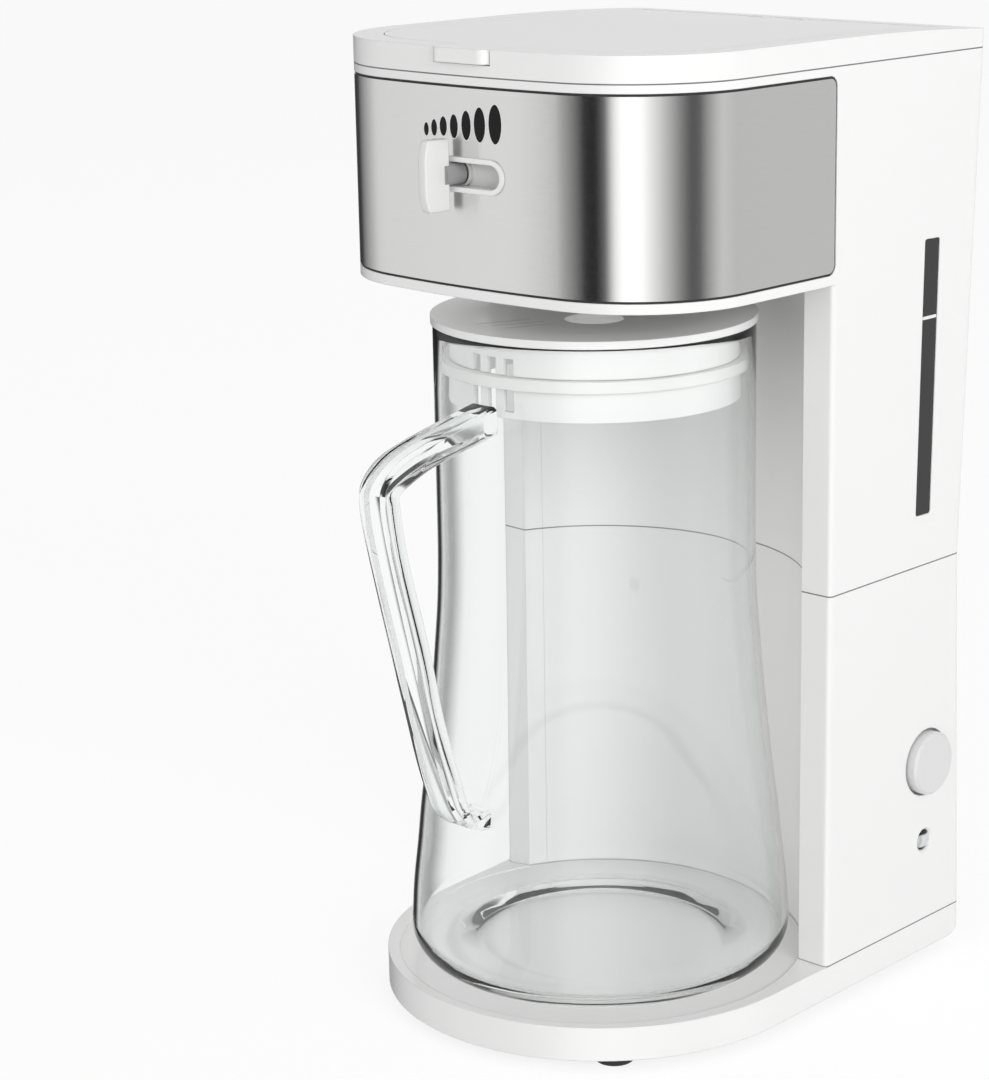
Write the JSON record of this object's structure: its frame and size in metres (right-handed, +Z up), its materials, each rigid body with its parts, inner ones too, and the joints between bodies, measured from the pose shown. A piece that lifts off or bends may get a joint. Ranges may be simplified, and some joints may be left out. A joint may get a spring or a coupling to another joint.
{
  "type": "iced tea maker",
  "caption": "Iced tea maker: white column with a steel-banded brew head, side window and button, over a clear serving pitcher.",
  "frame": {"origin": "centre of the bounding box's footprint, on the surface the machine stands on", "axes": "+Z up, -Y to the front where the pitcher's handle points, +X to the right seen from the front"},
  "size_m": [0.172, 0.2432, 0.365],
  "materials": {
    "white_plastic": "smooth gloss",
    "under_plastic": "fine grain",
    "foot_rubber": "matt",
    "screw_steel": "plated",
    "band_steel": "fine horizontal grain",
    "window_smoke": "smoked, polished",
    "inner_plastic": "as moulded",
    "tank_plastic": "translucent",
    "basket_plastic": "as moulded",
    "filter_mesh": "woven mesh",
    "hose_silicone": "translucent silicone",
    "heater_metal": "cast",
    "strap_steel": "plated",
    "fuse_ceramic": "sleeved",
    "button_grey": "satin",
    "lens_clear": "clear, polished",
    "knob_silver": "satin silver",
    "pin_steel": "polished",
    "pitcher_clear": "clear",
    "seal_silicone": "soft",
    "switch_black": "as moulded"
  },
  "bodies": {
    "body": {"base_housing": "white_plastic", "bottom_cover": "under_plastic", "rubber_feet": "foot_rubber", "cover_screws": "screw_steel", "base_screws": "screw_steel", "lower_housing": "white_plastic", "upper_housing": "white_plastic", "seam_screws": "screw_steel", "lower_bay_wall": "white_plastic", "upper_bay_wall": "white_plastic", "drip_plate": "inner_plastic", "steel_band": "band_steel", "selector_bezel": "white_plastic", "level_window": "window_smoke", "brew_deck": "inner_plastic", "deck_screws": "screw_steel", "reservoir_tank": "tank_plastic", "top_frame": "white_plastic", "hinge_pin": "pin_steel", "brew_basket": "basket_plastic", "tea_filter": "filter_mesh", "riser_tube": "inner_plastic", "outlet_hose": "hose_silicone", "check_valve": "inner_plastic", "inlet_hose": "hose_silicone", "heater_block": "heater_metal", "heater_bracket": "strap_steel", "heater_screws": "screw_steel", "thermostat": "heater_metal", "thermal_fuse": "fuse_ceramic", "button_guide": "inner_plastic", "button_spring": "screw_steel", "power_switch": "switch_black", "indicator_lens": "lens_clear", "lamp_holder": "inner_plastic", "cord_gland": "foot_rubber", "carrier_clip": "screw_steel"},
    "lid": {"lid_panel": "white_plastic"},
    "selector": {"selector_knob": "knob_silver", "selector_carrier": "inner_plastic"},
    "button": {"brew_button": "button_grey", "switch_plunger": "inner_plastic"},
    "spray_arm": {"shower_arm": "inner_plastic"},
    "pitcher": {"pitcher_glass": "pitcher_clear", "pitcher_handle": "pitcher_clear"},
    "pitcher_cover": {"pitcher_lid": "white_plastic", "lid_seal": "seal_silicone"}
  },
  "joints": [
    {"name": "lid_hinge", "type": "hinge", "parent": "body", "child": "lid", "pos_m": [-0.002, 0.10315, 0.36012], "axis": [-1, 0, 0], "range_deg": [0, 100]},
    {"name": "strength_selector", "type": "hinge", "parent": "body", "child": "selector", "pos_m": [-0.002, -0.00545, 0.3217], "axis": [0, 0, 1], "range_deg": [-5.5, 15.1]},
    {"name": "brew_button_press", "type": "slide", "parent": "body", "child": "button", "axis": [-1, 0, 0], "range_m": [0, 0.0025], "stiffness_N_per_m": 400, "springref_m": -0.003, "deforming": ["button_spring"]},
    {"name": "spray_arm_swing", "type": "hinge", "parent": "body", "child": "spray_arm", "pos_m": [-0.071, 0.08655, 0.3478], "axis": [0, 0, 1], "range_deg": [0, 50]},
    {"name": "pitcher_pull_out", "type": "slide", "parent": "body", "child": "pitcher", "axis": [0, -0.9976, 0.0698], "range_m": [0, 0.23]},
    {"name": "pitcher_cover_turn", "type": "hinge", "parent": "pitcher", "child": "pitcher_cover", "pos_m": [-0.002, -0.00545, 0.262], "axis": [0, 0, 1], "continuous": true}
  ]
}
